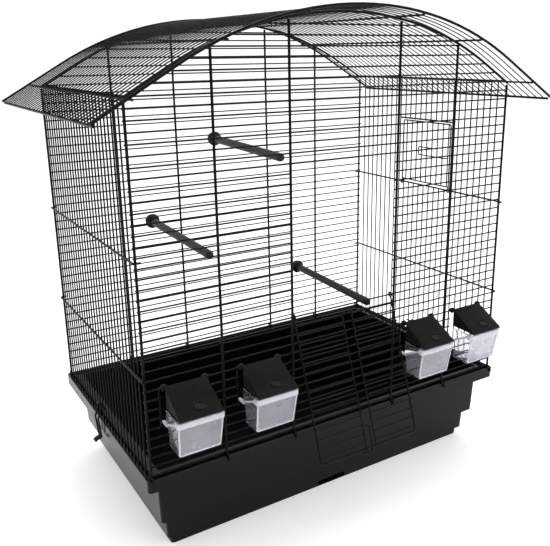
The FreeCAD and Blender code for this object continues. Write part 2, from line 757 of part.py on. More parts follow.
def make_hood(number, middle):
    """Feeder hood: a sloping plate with cheeks, a finger grip and two hinge knuckles."""
    body = new_body(f"feeder_{number}_hood")
    outer = size("knuckle_radius")
    plate = size("hood_plate")
    width = size("hood_width")
    end = -size("hood_length")
    under = outer - plate
    slab(body, [(-1.8, outer), (end, outer), (end, under), (-1.8, under)], "0", "dims.hood_width")
    slope = math.radians(size("hood_slope"))

    def tilted(y, z):
        """A place beside the hinge line, seen in the sloping hood's own plane."""
        return (y * math.cos(slope) + z * math.sin(slope), z * math.cos(slope) - y * math.sin(slope))

    level = -size("cheek_drop")
    tip = (level - under * math.cos(slope)) / math.sin(slope)
    cheek = [(-4.0, outer), (tip, outer), (tip, under), tilted(-4.6, level), tilted(-4.6, -2.0)]
    for side in ("-1", "1"):
        slab(body, cheek, f"{side} * (dims.hood_width - 1.6) / 2", "1.6")
    for side in ("-1", "1"):
        place = f"{side} * (dims.hood_width - dims.knuckle_width) / 2"
        knuckle = new_sketch(body, "YZ_Plane", place)
        knuckle.addGeometry(Part.Circle(Vector(0, 0, 0), Vector(0, 0, 1), outer))
        knuckle.addGeometry(Part.Circle(Vector(0, 0, 0), Vector(0, 0, 1), 1.3))
        for circle in (0, 1):
            knuckle.addConstraint(Sketcher.Constraint("Coincident", circle, 3, -1, 1))
        constrain(knuckle, "dims.knuckle_radius", "Radius", 0)
        constrain(knuckle, "dims.bar_dia / 2 + dims.eye_gap", "Radius", 1)
        pad(body, knuckle, "dims.knuckle_width", symmetric=True)
    # finger grip: an oval rim with slanted ribs inside it, near the front edge
    rim = new_sketch(body, "XY_Plane", "dims.knuckle_radius - 0.5")
    centre = Vector(0, end + 13.0, 0)
    rim.addGeometry(Part.Ellipse(centre + Vector(7.8, 0, 0), centre + Vector(0, 6.6, 0), centre))
    rim.addGeometry(Part.Ellipse(centre + Vector(6.6, 0, 0), centre + Vector(0, 5.4, 0), centre))
    pad(body, rim, "1.5")
    ribs = new_sketch(body, "XY_Plane", "dims.knuckle_radius - 0.5")
    for step in (-3.4, 0.0, 3.4):
        lean = 1.6
        half_rib, half_run = 0.6, 4.3 - abs(step) * 0.3
        corners = [(-half_rib - lean, -half_run), (half_rib - lean, -half_run)]
        corners += [(half_rib + lean, half_run), (-half_rib + lean, half_run)]
        points = [centre + Vector(step + x, y, 0) for x, y in corners]
        for start, finish in zip(points, points[1:] + points[:1]):
            ribs.addGeometry(Part.LineSegment(start, finish))
    pad(body, ribs, "1.3")
    # two moulded studs near the hinge
    studs = new_sketch(body, "XY_Plane", "dims.knuckle_radius - 0.5")
    for side in (-1, 1):
        studs.addGeometry(Part.Circle(Vector(side * 6.5, -9.0, 0), Vector(0, 0, 1), 1.6))
    pad(body, studs, "1.1")
    body.Placement = Placement(Vector(middle, -BAR_Y, HOOD_Z), Rotation(X_AXIS, size("hood_slope")))


def make_cup(number, middle):
    """Clear feeder cup with a leaning front, a lip band and a low back wall. A rim runs
    down each side to a peg behind, and a thin upstand closes the gap under the hood."""
    body = new_body(f"feeder_{number}_cup")
    wall = "dims.cup_wall"

    def outline(height, width, depth, shrink, radius):
        """The cup's outline at one height, its back wall always in the same plane."""
        sketch = new_sketch(body, "XY_Plane", height)
        sketch.setExpression("AttachmentOffset.Base.y", f"-({depth}) / 2")
        across = f"{width} - 2 * ({shrink})"
        along = f"{depth} - 2 * ({shrink})"
        rounded_rectangle(sketch, across, along, radius)
        return sketch

    foot = ("dims.foot_width", "dims.foot_depth")
    mouth = ("dims.cup_width", "dims.cup_depth")
    lower = outline("0", *foot, "0", "3.5")
    loft(body, "AdditiveLoft", lower, outline("dims.cup_height", *mouth, "0", "3.5"))
    band = new_sketch(body, "XY_Plane", "dims.cup_height - dims.lip_band")
    half_lip = "dims.lip_width / 2"
    rectangle(band, f"-{half_lip}", half_lip, "-dims.lip_depth", "-dims.cup_depth + 5")
    pad(body, band, "dims.lip_band")
    lower = outline(wall, *foot, wall, "2.2")
    upper = outline("dims.cup_height + 0.05", *mouth, wall, "2.2")
    loft(body, "SubtractiveLoft", lower, upper)

    # the side walls fall towards the low back wall
    lip = size("cup_height")
    front = -size("cup_depth") + 5.0
    low = lip - size("back_drop")
    above = [(front, lip + 1.0), (front, lip - 1.5), (1.0, low), (1.0, lip + 1.0)]
    cut = new_sketch(body, "YZ_Plane")
    closed_outline(cut, above)
    pocket = body.newObject("PartDesign::Pocket", "sloping_rim")
    pocket.Profile = cut
    pocket.Type = 0
    pocket.SideType = 2
    pocket.setExpression("Length", "dims.lip_width + 4")

    rim = [(front - 1.0, lip - 1.5), (0.0, low), (0.0, low - 2.2), (front - 1.0, lip - 3.7)]
    upstand = [(front - 2.0, lip - 2.0), (front - 2.0, lip), (-0.5, lip + 0.9), (-0.5, low - 1.0)]
    for side in ("-1", "1"):
        slab(body, rim, f"{side} * (dims.cup_width - 0.6) / 2", "2.6")
        slab(body, upstand, f"{side} * (dims.cup_width - 1.8) / 2", "1.0")
    # pegs that pass through the opening and rest on its lower bar
    pegs = new_sketch(body, "XZ_Plane", "2")
    for side in (-1, 1):
        place = Vector(side * (size("cup_width") / 2 - 1.2), low - 1.5, 0)
        pegs.addGeometry(Part.Circle(place, Vector(0, 0, 1), 1.9))
    block = pad(body, pegs, "12")
    block.Reversed = True
    body.Placement = Placement(Vector(middle, CUP_BACK, CUP_Z), Rotation())


# ---------------------------------------------------------------- perches

# centre line to each perch, and the space between bars that its screw passes
PERCHES = [(-120.5, 18.5), (-16.4, 28.5), (126.5, 8.5)]
PERCH_Y = BAR_Y - BAR_RADIUS - 0.5
NUT_START = 2 * BAR_RADIUS + 1.0


def turned(body, outline):
    """A solid of revolution round the Y axis from its half outline in the YZ plane."""
    sketch = new_sketch(body, "YZ_Plane")
    closed_outline(sketch, outline)
    solid = body.newObject("PartDesign::Revolution", f"{body.Name}_turn")
    solid.Profile = sketch
    solid.ReferenceAxis = (sketch, ["H_Axis"])
    solid.Angle = 360
    return solid


def make_perch(number, x, space):
    """One perch with its head disc inside the wall, and the nut outside it."""
    rod_radius = size("perch_dia") / 2
    head_radius = size("perch_head_dia") / 2
    head = size("perch_head")
    screw = size("perch_screw") / 2
    end = -head - size("perch_length")
    screw_end = 13.0
    body = new_body(f"perch_{number}")
    turned(
        body,
        [
            (screw_end, 0.0),
            (screw_end, screw),
            (0.0, screw),
            (0.0, head_radius),
            (-head + 1.0, head_radius),
            (-head, head_radius - 1.0),
            (-head, rod_radius),
            (end + 2.5, rod_radius),
            (end + 0.7, rod_radius - 1.2),
            (end, rod_radius - 3.2),
            (end, 0.0),
        ],
    )
    place = Placement(Vector(x, PERCH_Y, bar_z(space)), Rotation(X_AXIS, size("perch_droop")))
    body.Placement = place

    nut = new_body(f"perch_{number}_nut")
    bore = screw + 0.15
    turned(
        nut,
        [
            (NUT_START, bore),
            (NUT_START, head_radius - 1.5),
            (NUT_START + 2.0, head_radius - 1.5),
            (NUT_START + 2.6, rod_radius + 0.5),
            (NUT_START + 7.0, rod_radius),
            (NUT_START + 7.0, bore),
        ],
    )
    nut.Placement = place


# ---------------------------------------------------------------- tray clips

CLIP_Z = size("tray_height") + size("clip_rise")
RIM_X = HALF_WIDTH + size("rim_margin_x")


def make_clip(name, side):
    """Spring bail on the cage's side, hung on a pivot wire. It reaches over the rim and
    down past the skirt, and the curved tongue at its foot is what a finger pulls."""
    wire_radius = size("clip_wire") / 2
    half = size("side_pitch") / 2
    pivot = Vector(side * BRACE_X, CLIP_Y, CLIP_Z)
    reach = Vector(0, 3 * half, 0)
    group(f"{name}_clip_pivot", [rod(pivot - reach, pivot + reach, "brace_dia")])

    eye = BRACE_RADIUS + EYE_GAP + wire_radius
    out = side * (RIM_X + 4.2)
    foot = size("tray_height") - size("clip_drop")
    leg = [
        Vector(pivot.x + side * eye, 0, CLIP_Z),
        Vector(out, 0, size("tray_height") + 2.5),
        Vector(side * (RIM_X + 1.8), 0, foot),
    ]
    near = [point + Vector(0, CLIP_Y - half, 0) for point in leg]
    far = [point + Vector(0, CLIP_Y + half, 0) for point in reversed(leg)]
    bail = bent_wire(near + far, 3.5, size("clip_wire"))
    eyes = [ring(pivot + Vector(0, end * half, 0), Y_AXIS, eye, wire_radius) for end in (-1, 1)]

    # the tongue: a strip across the foot of the bail, curving outwards and down
    thick, radius = 1.8, 9.0
    turns = (-6, 22, 50)
    middle = Vector(side * (RIM_X + 1.9), CLIP_Y - size("tongue_width") / 2, foot - radius - 1.6)
    sweep = []
    for distance, order in ((radius + thick, turns), (radius, turns[::-1])):
        for turn in order:
            angle = math.radians(side * turn)
            sweep.append(middle + Vector(math.sin(angle), 0, math.cos(angle)) * distance)
    sides = [
        Part.Arc(*sweep[:3]).toShape(),
        Part.LineSegment(sweep[2], sweep[3]).toShape(),
        Part.Arc(*sweep[3:]).toShape(),
        Part.LineSegment(sweep[5], sweep[0]).toShape(),
    ]
    tongue = Part.Face(Part.Wire(sides)).extrude(Vector(0, size("tongue_width"), 0))
    feature(f"{name}_clip", bail.fuse(eyes + [tongue]))


# ---------------------------------------------------------------- the whole cage

make_tray()
make_wall("front", -1)
make_wall("back", 1)
make_feeder_frames()
make_side("left", -1)
make_side("right", 1)
make_roof()
make_rim_hooks()
make_front_door()
make_nest_door()
for feeder, feeder_x in enumerate(FEEDER_X, start=1):
    make_hood(feeder, feeder_x)
    make_cup(feeder, feeder_x)
for perch, (perch_x, perch_space) in enumerate(PERCHES, start=1):
    make_perch(perch, perch_x, perch_space)
make_clip("left", -1)
make_clip("right", 1)
doc.recompute()

# ---------------------------------------------------------------- checks and export

faulty = [item.Name for item in doc.Objects if {"Invalid", "Error"} & set(item.State)]
if faulty:
    raise RuntimeError(f"these did not recompute: {faulty}")

KINDS = ("PartDesign::Body", "Part::Compound", "Part::Feature")
sub_parts = [item for item in doc.Objects if item.TypeId in KINDS]
for item in sub_parts:
    if item.Shape.isNull() or not item.Shape.isValid():
        raise RuntimeError(f"{item.Label} has no valid shape")

os.makedirs("parts", exist_ok=True)
for item in sub_parts:
    item.Shape.exportStep(f"parts/{item.Label}.step")
    print(item.Label, len(item.Shape.Solids), "solids,", round(item.Shape.Volume), "mm3")
print(len(sub_parts), "sub-parts")
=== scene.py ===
import json
import math

import bmesh
import bpy
from mathutils import Matrix, Vector


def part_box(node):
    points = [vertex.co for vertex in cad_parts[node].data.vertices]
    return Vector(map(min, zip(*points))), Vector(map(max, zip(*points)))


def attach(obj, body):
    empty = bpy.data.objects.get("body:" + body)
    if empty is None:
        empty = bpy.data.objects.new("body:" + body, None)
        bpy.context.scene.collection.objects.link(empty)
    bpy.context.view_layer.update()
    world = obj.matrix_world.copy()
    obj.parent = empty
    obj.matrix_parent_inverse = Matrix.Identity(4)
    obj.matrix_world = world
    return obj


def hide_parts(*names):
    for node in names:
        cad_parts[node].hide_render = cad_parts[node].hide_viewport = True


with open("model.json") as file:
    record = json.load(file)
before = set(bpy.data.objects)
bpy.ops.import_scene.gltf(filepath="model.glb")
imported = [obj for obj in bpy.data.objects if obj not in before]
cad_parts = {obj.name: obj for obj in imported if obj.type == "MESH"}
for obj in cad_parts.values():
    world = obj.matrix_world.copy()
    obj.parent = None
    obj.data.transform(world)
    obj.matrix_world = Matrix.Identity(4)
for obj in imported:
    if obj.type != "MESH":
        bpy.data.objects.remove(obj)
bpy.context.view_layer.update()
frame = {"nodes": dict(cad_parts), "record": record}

# shapes are drawn in millimetres, and show() brings them to metres
MM = 0.001
UP = Vector((0, 0, 1))
ACROSS = Vector((1, 0, 0))


# ---------------------------------------------------------------- node helpers

def new_material(name):
    """A node material with its tree and its Principled shader."""
    material = bpy.data.materials.new(name)
    material.use_nodes = True
    tree = material.node_tree
    shader = tree.nodes["Principled BSDF"]
    return material, tree, shader


def object_position(tree):
    """The place on the piece that is shaded, in metres."""
    return tree.nodes.new("ShaderNodeTexCoord").outputs["Object"]


def noise(tree, vector, scale, detail=2.0, roughness=0.5):
    """A cloudy pattern. scale is about how many lumps go to a metre."""
    node = tree.nodes.new("ShaderNodeTexNoise")
    node.inputs["Scale"].default_value = scale
    node.inputs["Detail"].default_value = detail
    node.inputs["Roughness"].default_value = roughness
    tree.links.new(vector, node.inputs["Vector"])
    return node.outputs["Fac"]


def stretch(tree, vector, scale):
    """The position scaled per axis, so that a pattern runs along one direction."""
    node = tree.nodes.new("ShaderNodeMapping")
    node.inputs["Scale"].default_value = scale
    tree.links.new(vector, node.inputs["Vector"])
    return node.outputs["Vector"]


def spread(tree, value, low, high, start=0.3, end=0.7):
    """Maps a value's range from start to end onto low to high, and holds it there."""
    node = tree.nodes.new("ShaderNodeMapRange")
    node.inputs["From Min"].default_value = start
    node.inputs["From Max"].default_value = end
    node.inputs["To Min"].default_value = low
    node.inputs["To Max"].default_value = high
    tree.links.new(value, node.inputs["Value"])
    return node.outputs["Result"]


def tint(tree, shader, pattern, first, second):
    """Base colour that drifts from the first colour to the second with a pattern."""
    node = tree.nodes.new("ShaderNodeMix")
    node.data_type = "RGBA"
    node.inputs["A"].default_value = (*first, 1.0)
    node.inputs["B"].default_value = (*second, 1.0)
    tree.links.new(spread(tree, pattern, 0.0, 1.0), node.inputs["Factor"])
    tree.links.new(node.outputs["Result"], shader.inputs["Base Color"])


def gloss(tree, shader, pattern, smooth, dull):
    """Roughness that drifts from smooth to dull with a pattern."""
    tree.links.new(spread(tree, pattern, smooth, dull), shader.inputs["Roughness"])


def bump(tree, shader, height, distance):
    """Fine relief. distance is its depth in metres."""
    node = tree.nodes.new("ShaderNodeBump")
    node.inputs["Distance"].default_value = distance
    tree.links.new(height, node.inputs["Height"])
    tree.links.new(node.outputs["Normal"], shader.inputs["Normal"])


# ---------------------------------------------------------------- materials

def painted_wire():
    """Black paint on drawn wire: thin orange peel, a little uneven gloss."""
    material, tree, shader = new_material("black_wire")
    place = object_position(tree)
    tint(tree, shader, noise(tree, place, 60.0), (0.0025, 0.0025, 0.0027), (0.006, 0.006, 0.0064))
    shader.inputs["Specular IOR Level"].default_value = 0.07
    gloss(tree, shader, noise(tree, place, 300.0), 0.26, 0.42)
    bump(tree, shader, noise(tree, place, 1400.0, 3.0), 0.00008)
    return material


def tray_plastic():
    """Glossy black polystyrene with faint scuffs."""
    material, tree, shader = new_material("tray_plastic")
    place = object_position(tree)
    tint(tree, shader, noise(tree, place, 9.0, 4.0), (0.0012, 0.0012, 0.0014), (0.0026, 0.0026, 0.0029))
    shader.inputs["Specular IOR Level"].default_value = 0.14
    scuff = noise(tree, stretch(tree, place, (6.0, 6.0, 90.0)), 14.0, 5.0, 0.6)
    gloss(tree, shader, scuff, 0.13, 0.27)
    bump(tree, shader, noise(tree, place, 500.0), 0.00004)
    return material


def hood_plastic():
    """Charcoal plastic with a fine moulded grain."""
    material, tree, shader = new_material("hood_plastic")
    place = object_position(tree)
    tint(tree, shader, noise(tree, place, 40.0, 3.0), (0.0055, 0.0055, 0.0058), (0.0095, 0.0095, 0.0100))
    shader.inputs["Specular IOR Level"].default_value = 0.1
    gloss(tree, shader, noise(tree, place, 150.0), 0.40, 0.56)
    bump(tree, shader, noise(tree, place, 1800.0, 3.0), 0.00012)
    return material


def grip_plastic(name, low, high, shine):
    """The hood's plastic in a darker and a lighter copy: painted shade for the grip's recess, and a
    painted highlight with more polish for its ribs.
    """
    material, tree, shader = new_material(name)
    place = object_position(tree)
    tint(tree, shader, noise(tree, place, 70.0, 3.0), (low,) * 3, (high,) * 3)
    shader.inputs["Specular IOR Level"].default_value = shine
    gloss(tree, shader, noise(tree, place, 220.0), 0.24, 0.36)
    bump(tree, shader, noise(tree, place, 1500.0, 3.0), 0.00006)
    return material


def perch_plastic():
    """Black plastic, satin, with faint lines along the perch."""
    material, tree, shader = new_material("perch_plastic")
    place = object_position(tree)
    tint(tree, shader, noise(tree, place, 50.0, 3.0), (0.0030, 0.0030, 0.0032), (0.0065, 0.0065, 0.0070))
    shader.inputs["Specular IOR Level"].default_value = 0.3
    gloss(tree, shader, noise(tree, place, 200.0), 0.34, 0.5)
    lines = noise(tree, stretch(tree, place, (900.0, 60.0, 900.0)), 1.0, 3.0)
    bump(tree, shader, lines, 0.0001)
    return material


def clear_plastic(name, milk, smooth, dull, low=(0.86, 0.87, 0.92), high=(0.93, 0.94, 0.97)):
    """Clear polystyrene. milk is how much light it scatters instead of passing on."""
    material, tree, shader = new_material(name)
    place = object_position(tree)
    tint(tree, shader, noise(tree, place, 45.0, 3.0), low, high)
    shader.inputs["Transmission Weight"].default_value = 1.0 - milk
    shader.inputs["IOR"].default_value = 1.45
    gloss(tree, shader, noise(tree, place, 80.0, 3.0), smooth, dull)
    bump(tree, shader, noise(tree, place, 160.0), 0.00004)
    return material


MATERIALS = {
    "black_wire": painted_wire(),
    "tray_plastic": tray_plastic(),
    "hood_plastic": hood_plastic(),
    "perch_plastic": perch_plastic(),
    "clear_plastic": clear_plastic("clear_plastic", 0.03, 0.03, 0.09),
}

# a hood and a cup have three materials each, and a face picks one by its number
HOOD_FINISH = [
    MATERIALS["hood_plastic"],
    # a near-black copy with almost no shine: painted shade for the grip's recess
    grip_plastic("grip_painted_shade", 0.0006, 0.0014, 0.02),
    # a lighter, glossier copy: painted highlight on the grip's ribs, with real shine on top
    grip_plastic("grip_ribs_painted_highlight", 0.010, 0.020, 0.55),
]
SHADE_DISC, HIGHLIGHT_RIBS = 1, 2
CUP_FINISH = [
    MATERIALS["clear_plastic"],
    clear_plastic("frosted_plastic", 0.19, 0.22, 0.38, (0.72, 0.71, 0.80), (0.86, 0.85, 0.93)),
    # milky white clear plastic: painted highlight on the cup's thick edges
    clear_plastic("edge_painted_highlight", 0.52, 0.12, 0.25, (0.84, 0.83, 0.90), (0.93, 0.92, 0.97)),
]
FROSTED, PAINTED_HIGHLIGHT = 1, 2

for part in frame["record"]["subparts"]:
    mesh = frame["nodes"][part["node"]].data
    mesh.materials.clear()
    mesh.materials.append(MATERIALS[part["material_slot"]])


# ---------------------------------------------------------------- mesh helpers

def rounded(width, height, radius, steps=5):
    """A rounded rectangle round the origin, anticlockwise from its right side."""
    points = []
    for quarter, (right, up) in enumerate(((1, 1), (-1, 1), (-1, -1), (1, -1))):
        centre = Vector((right * (width / 2 - radius), up * (height / 2 - radius)))
        for step in range(steps + 1):
            angle = (quarter + step / steps) * math.pi / 2
            points.append(centre + Vector((math.cos(angle), math.sin(angle))) * radius)
    return points


def circle(radius, count):
    """Points round the origin, anticlockwise from its right side."""
    points = []
    for step in range(count):
        angle = step * math.tau / count
        points.append(Vector((math.cos(angle), math.sin(angle))) * radius)
    return points


def skin(bm, rings, loop=False):
    """Faces from ring to ring. A loop joins the last ring to the first, else both are filled."""
    loops = [[bm.verts.new(point) for point in ring] for ring in rings]
    count = len(loops[0])
    following = loops[1:] + loops[:1] if loop else loops[1:]
    faces = []
    for lower, upper in zip(loops, following):
        for this in range(count):
            after = (this + 1) % count
            faces.append(bm.faces.new((lower[this], lower[after], upper[after], upper[this])))
    if not loop:
        faces.append(bm.faces.new(loops[0]))
        faces.append(bm.faces.new(loops[-1]))
    return faces


def sweep(bm, path, profile, up, loop=False):
    """A profile carried along a flat path. up is square to the path's plane."""
    last = len(path) - 1
    rings = []
    for index, point in enumerate(path):
        before = path[index - 1] if loop or index else point
        after = path[(index + 1) % len(path)] if loop or index < last else point
        side = (after - before).cross(up).normalized()
        rings.append([point + side * place.x + up * place.y for place in profile])
    return skin(bm, rings, loop)


def plate(bm, corners, thickness, edge):
    """A slab over a flat outline, with rounded edges. thickness points to its other side."""
    near = [bm.verts.new(corner) for corner in corners]
    far = [bm.verts.new(Vector(corner) + Vector(thickness)) for corner in corners]
    faces = [bm.faces.new(near), bm.faces.new(far)]
    for this in range(len(near)):
        after = (this + 1) % len(near)
        faces.append(bm.faces.new((near[this], near[after], far[after], far[this])))
    edges = list({line for face in faces for line in face.edges})
    bmesh.ops.bevel(bm, geom=edges, offset=edge, segments=2, affect="EDGES", profile=0.5)


def lathe(bm, outline, axis="Y", flutes=0, depth=0.0, count=48):
    """Turned shape from (place, radius) pairs. Flutes are cut where it is near its widest."""
    widest = max(radius for place, radius in outline)
    rings = []
    for place, radius in outline:
        ring = []
        for step in range(count):
            angle = step * math.tau / count
            cut = depth * max(0.0, math.cos(flutes * angle)) if radius > 0.8 * widest else 0.0
            across = (radius - cut) * math.cos(angle)
            along = (radius - cut) * math.sin(angle)
            ring.append((across, place, along) if axis == "Y" else (place, across, along))
        rings.append(ring)
    return skin(bm, rings)


def paint(faces, index):
    """Gives faces one of the piece's materials."""
    for face in faces:
        face.material_index = index


def show(name, bm, place, body, materials, node):
    """Turns a mesh in millimetres into a piece on its body, in place of its CAD node."""
    bmesh.ops.recalc_face_normals(bm, faces=bm.faces)
    bmesh.ops.transform(bm, matrix=place @ Matrix.Scale(MM, 4), verts=bm.verts)
    mesh = bpy.data.meshes.new(name)
    bm.to_mesh(mesh)
    bm.free()
    mesh.shade_smooth()
    mesh.set_sharp_from_angle(angle=math.radians(38))
    for material in materials:
        mesh.materials.append(material)
    piece = bpy.data.objects.new(name, mesh)
    bpy.context.scene.collection.objects.link(piece)
    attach(piece, body)
    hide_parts(node)


# ---------------------------------------------------------------- hoods

# a hood is drawn with its hinge line on X and its plate level, then tipped by its slope
HOOD_SLOPE = math.radians(30)
HOOD_OUTER = 3.6
HOOD_PLATE = 2.0
HOOD_LENGTH = 47.8
HOOD_TOP_HALF = 23.6
HOOD_FOOT_HALF = 25.4
CHEEK_DROP = 21.5
CHEEK_THICKNESS = 1.6
MARK_PLACE = -10.0
MARK_OUT = 4.0
MARK_HALF = 1.2
GRIP = Vector((2.5, -35.5, HOOD_OUTER))
GRIP_WIDE = 6.9
GRIP_HIGH = 5.6
RIB_PITCH = 2.3
RIB_HALF = 4.4
RIB_LEAN = math.radians(15)

HINGES = {}
for joint in frame["record"]["behaviour"]["joints"]:
    if joint["name"].startswith("hood"):
        HINGES[joint["name"]] = Vector(joint["pos_m"])


def on_slope(y, z):
    """A place beside the hinge line, seen in the sloping hood's own plane."""
    return (
        y * math.cos(HOOD_SLOPE) + z * math.sin(HOOD_SLOPE),
        z * math.cos(HOOD_SLOPE) - y * math.sin(HOOD_SLOPE),
    )


def hood_half(y):
    """Half the hood's width at a distance down its slope."""
    return HOOD_TOP_HALF + (HOOD_FOOT_HALF - HOOD_TOP_HALF) * -y / HOOD_LENGTH


def hood_side(bm, side):
    """A cheek with a level foot, a knuckle on the hinge line, and a small rib near the top."""
    over = HOOD_OUTER - 0.3
    under = HOOD_OUTER - HOOD_PLATE
    tip = (-CHEEK_DROP - under * math.cos(HOOD_SLOPE)) / math.sin(HOOD_SLOPE)
    cheek = [(-3.5, over), (tip, over), (tip, under)]
    cheek += [on_slope(-4.6, -CHEEK_DROP), on_slope(-4.6, -2.0)]
    outline = [(side * (hood_half(y) - 0.2), y, z) for y, z in cheek]
    plate(bm, outline, (-side * CHEEK_THICKNESS, 0, 0), 0.4)

    knuckle = [(0.0, 2.0), (0.25, 3.0), (0.9, 3.55), (4.3, 3.55), (4.9, 3.0), (5.1, 2.0)]
    start = side * (HOOD_TOP_HALF - 2.6)
    lathe(bm, [(start + side * place, radius) for place, radius in knuckle], axis="X", count=24)

    middle = Vector((side * MARK_OUT, MARK_PLACE, HOOD_OUTER))
    mark = [middle + Vector((run, -0.25 * run, 0.0)) for run in (-MARK_HALF, MARK_HALF)]
    sweep(bm, mark, circle(0.55, 8), UP)


def hood_grip(bm):
    """Oval finger grip: a raised bead, a flat disc in it painted near black as the recess's shade, and
    five leaning ribs painted lighter as highlights.
    """
    bead = [GRIP + Vector((GRIP_WIDE * place.x, GRIP_HIGH * place.y, 0.1)) for place in circle(1.0, 40)]
    sweep(bm, bead, circle(0.75, 8), UP, loop=True)
    wide = GRIP_WIDE - 0.3
    high = GRIP_HIGH - 0.3
    shade_outline = [GRIP + Vector((wide * place.x, high * place.y, 0.04)) for place in circle(1.0, 32)]
    # a flat disc just above the plate, painted near black as the shade in the grip's recess
    paint([bm.faces.new([bm.verts.new(point) for point in shade_outline])], SHADE_DISC)
    for step in range(-2, 3):
        middle = GRIP + Vector((RIB_PITCH * step, 0.0, 0.25))
        run = Vector((math.sin(RIB_LEAN), -math.cos(RIB_LEAN), 0.0)) * (RIB_HALF - abs(step) * 0.75)
        # the ribs are painted lighter than the hood as a highlight
        paint(sweep(bm, [middle - run, middle + run], circle(0.72, 8), UP), HIGHLIGHT_RIBS)


def make_hood(number):
    """Sloping cover: plate, two cheeks, two hinge knuckles, oval finger grip."""
    bm = bmesh.new()
    top = -1.0
    corners = [(-1, top), (1, top), (1, -HOOD_LENGTH), (-1, -HOOD_LENGTH)]
    plate(bm, [(side * hood_half(y), y, HOOD_OUTER) for side, y in corners], (0, 0, -HOOD_PLATE), 0.5)
    for side in (-1, 1):
        hood_side(bm, side)
    hood_grip(bm)

    place = Matrix.Translation(HINGES[f"hood_{number}_hinge"]) @ Matrix.Rotation(HOOD_SLOPE, 4, "X")
    name = f"hood_{number}_moulding"
    show(name, bm, place, f"hood_{number}", HOOD_FINISH, f"feeder_{number}_hood")


# ---------------------------------------------------------------- cups

# a cup is drawn with its foot at height 0 and the back of its wall on Y = 0
CUP_HEIGHT = 43.5
CUP_WALL = 1.6
CUP_FOOT = Vector((47.5, 27.0))
CUP_MOUTH = Vector((52.0, 34.5))
CUP_CORNER = 3.6
CUP_BACK_HEIGHT = 28.0
CUP_LEVEL_HEIGHT = 18.0
LIP_WIDTH = 54.8
LIP_DEPTH = 36.0
LIP_BAND = 6.5
LIP_THICKNESS = 2.0
LIP_CORNER = 3.2
LIP_RETURN = 6.4
SIDE_RIM_OUT = 25.7
PEG_OUT = 24.8


def cup_size(height):
    """The cup's width and depth at a height."""
    return CUP_FOOT.lerp(CUP_MOUTH, height / CUP_HEIGHT)


def cup_rim(y):
    """Top of the cup's wall: level in front, falling along the sides to the back."""
    start = -CUP_MOUTH.y + 3.5
    return CUP_HEIGHT - (CUP_HEIGHT - CUP_BACK_HEIGHT) * max(0.0, (y - start) / -start)


def cup_ring(height, inset):
    """One ring of the cup's wall, pulled down towards its sloping rim."""
    wide, deep = cup_size(height)
    ring = []
    for place in rounded(wide - 2 * inset, deep - 2 * inset, CUP_CORNER - inset * 0.8):
        y = place.y - deep / 2
        z = height
        if height > CUP_LEVEL_HEIGHT:
            share = (height - CUP_LEVEL_HEIGHT) / (CUP_HEIGHT - CUP_LEVEL_HEIGHT)
            z = CUP_LEVEL_HEIGHT + share * (cup_rim(y) - CUP_LEVEL_HEIGHT)
        ring.append((place.x, y, z))
    return ring


def cup_wall(bm):
    """The cup itself, outside and inside, with a frosted front face."""
    levels = (10.0, CUP_LEVEL_HEIGHT, 27.0, 36.0, 43.1)
    outside = [(0.0, 2.0), (0.25, 1.0), (0.9, 0.2), (2.0, 0.0)]
    outside += [(height, 0.0) for height in levels] + [(CUP_HEIGHT, 0.35)]
    inside = [(CUP_HEIGHT, 1.25)] + [(height, CUP_WALL) for height in reversed(levels)]
    inside += [(3.6, CUP_WALL), (2.2, 2.1), (CUP_WALL, 3.2)]
    wall = skin(bm, [cup_ring(height, inset) for height, inset in outside + inside])
    bm.normal_update()
    front = [face for face in wall if face.calc_center_median().y < -12.0]
    paint([face for face in front if abs(face.normal.y) > 0.85], FROSTED)


def cup_border(bm):
    """A bead round the foot and the sides of the front face, up to the lip, painted milky white as a
    highlight.
    """
    fall = Vector((0.0, CUP_FOOT.y - CUP_MOUTH.y, CUP_HEIGHT)).normalized()
    out = Vector((0.0, -fall.z, fall.y))
    lip_foot = CUP_HEIGHT - LIP_BAND
    wide, deep = cup_size(lip_foot)
    border = [Vector((-wide / 2 + 0.8, -deep, lip_foot))]
    lower_half_circle = rounded(2.0, 2.0, 1.0, 4)[10:]
    for turn in lower_half_circle:
        height = 2.2 + 1.5 * (turn.y + 1.0)
        wide, deep = cup_size(height)
        border.append(Vector((math.copysign(wide / 2 - 1.9, turn.x) + turn.x * 1.2, -deep, height)))
    border.append(Vector((-border[0].x, border[0].y, border[0].z)))
    return sweep(bm, border, circle(1.0, 10), out)


def cup_lip(bm):
    """The band round the mouth, open behind."""
    half = LIP_WIDTH / 2 - LIP_THICKNESS / 2
    front = -LIP_DEPTH + LIP_THICKNESS / 2
    height = CUP_HEIGHT - LIP_BAND / 2
    left = [Vector((-half, front + LIP_RETURN, height))]
    for step in range(7):
        angle = math.pi + step * math.pi / 12
        turn = Vector((1 + math.cos(angle), 1 + math.sin(angle), 0.0))
        left.append(Vector((-half, front, height)) + turn * LIP_CORNER)
    right = [Vector((-point.x, point.y, point.z)) for point in reversed(left)]
    return sweep(bm, left + right, rounded(LIP_THICKNESS, LIP_BAND, 0.8, 3), UP)


